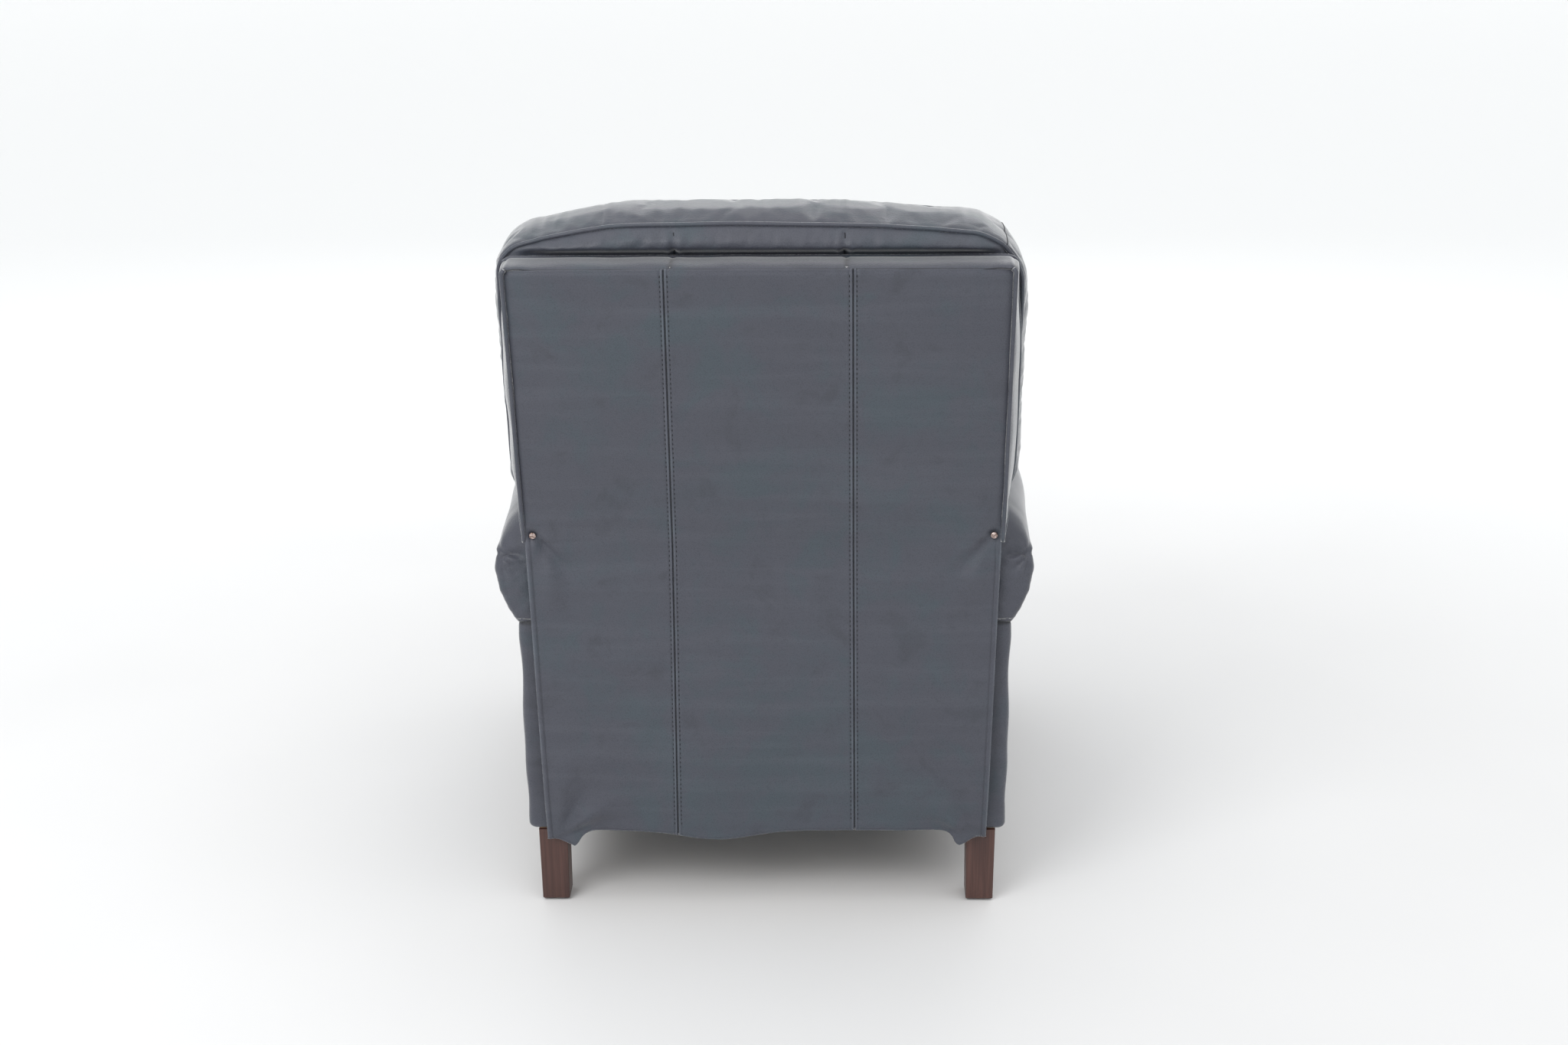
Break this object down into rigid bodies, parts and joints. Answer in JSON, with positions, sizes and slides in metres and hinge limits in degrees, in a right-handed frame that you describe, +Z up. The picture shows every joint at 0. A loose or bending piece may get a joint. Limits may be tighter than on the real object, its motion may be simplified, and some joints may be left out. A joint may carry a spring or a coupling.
{
  "type": "push-back recliner armchair",
  "caption": "Leather push-back recliner armchair with rolled arms, loose back pillow, hanging rear flap, folding legrest and square tapered wood legs.",
  "frame": {"origin": "on the floor, under the middle of the chair's closed bounding box", "axes": "+Z up; the chair faces -Y; the sitter's left is +X"},
  "size_m": [0.806, 0.9298, 1.086],
  "materials": {
    "leather": "satin",
    "leg_wood": "satin",
    "frame_timber": "matte",
    "mechanism_steel": "satin",
    "zinc_steel": "satin",
    "spring_wire": "satin",
    "antique_brass": "satin",
    "glide_plastic": "matte",
    "dust_cloth": "matte"
  },
  "bodies": {
    "base": {"rear_leg_left": "leg_wood", "rear_leg_right": "leg_wood", "front_leg_left": "leg_wood", "front_leg_right": "leg_wood", "leg_glides": "glide_plastic", "leg_bolts": "zinc_steel", "base_side_rail_left": "frame_timber", "base_side_rail_right": "frame_timber", "base_front_rail": "frame_timber", "base_rear_rail": "frame_timber", "corner_blocks": "frame_timber", "front_arm_post_left": "frame_timber", "front_arm_post_right": "frame_timber", "rear_arm_post_left": "frame_timber", "rear_arm_post_right": "frame_timber", "arm_top_board_left": "frame_timber", "arm_top_board_right": "frame_timber", "inner_arm_rail_left": "frame_timber", "inner_arm_rail_right": "frame_timber", "outside_arm_panel_left": "leather", "outside_arm_panel_right": "leather", "inside_arm_panel_left": "leather", "inside_arm_panel_right": "leather", "arm_roll_left": "leather", "arm_roll_right": "leather", "arm_front_facing_left": "leather", "arm_front_facing_right": "leather", "arm_rear_facing_left": "leather", "arm_rear_facing_right": "leather", "dust_cover": "dust_cloth", "mechanism_plate_left": "mechanism_steel", "mechanism_plate_right": "mechanism_steel", "mechanism_bolts": "zinc_steel", "hinge_pins": "zinc_steel"},
    "back": {"back_post_left": "frame_timber", "back_post_right": "frame_timber", "back_top_rail": "frame_timber", "back_lower_rail": "frame_timber", "back_stiles": "frame_timber", "back_hinge_brackets": "mechanism_steel", "back_springs": "spring_wire", "outside_back_panel": "leather", "back_top_band": "leather", "back_side_boxing": "leather", "nailheads": "antique_brass", "back_cushion": "leather"},
    "flap": {"back_flap": "leather"},
    "seat": {"seat_side_rails": "frame_timber", "seat_front_rail": "frame_timber", "seat_rear_rail": "frame_timber", "seat_springs": "spring_wire", "seat_guide_pins": "zinc_steel", "seat_cushion": "leather", "legrest_hangers": "mechanism_steel"},
    "lower_links": {"legrest_lower_links": "mechanism_steel", "legrest_cross_tube": "mechanism_steel"},
    "upper_links": {"legrest_upper_links": "mechanism_steel"},
    "legrest": {"legrest_brackets": "mechanism_steel", "legrest_board": "frame_timber", "legrest_pad": "leather"}
  },
  "joints": [
    {"name": "back_recline", "type": "hinge", "parent": "base", "child": "back", "pos_m": [0, 0.30054, 0.42772], "axis": [-1, 0, 0], "range_deg": [0, 30]},
    {"name": "flap_hang", "type": "hinge", "parent": "back", "child": "flap", "pos_m": [0, 0.38446, 0.60509], "axis": [1, 0, 0], "range_deg": [0, 30.1]},
    {"name": "seat_glide", "type": "slide", "parent": "base", "child": "seat", "axis": [0, -0.9945, 0.1045], "range_m": [0, 0.08]},
    {"name": "legrest_extend", "type": "hinge", "parent": "seat", "child": "lower_links", "pos_m": [0, -0.38, 0.318], "axis": [-1, 0, 0], "range_deg": [0, 85]},
    {"name": "legrest_knee", "type": "hinge", "parent": "lower_links", "child": "upper_links", "pos_m": [0, -0.36693, 0.16857], "axis": [1, 0, 0], "range_deg": [0, 133]},
    {"name": "legrest_ankle", "type": "hinge", "parent": "upper_links", "child": "legrest", "pos_m": [0, -0.39811, 0.31529], "axis": [-1, 0, 0], "range_deg": [0, 138]}
  ],
  "couplings": [
    {"joint": "flap_hang", "follows": "back_recline", "ratio": 1},
    {"joint": "seat_glide", "follows": "back_recline", "m_per_rad": 0.1527},
    {"joint": "legrest_knee", "follows": "legrest_extend", "ratio": 1.5647},
    {"joint": "legrest_ankle", "follows": "legrest_extend", "ratio": 1.6235}
  ]
}
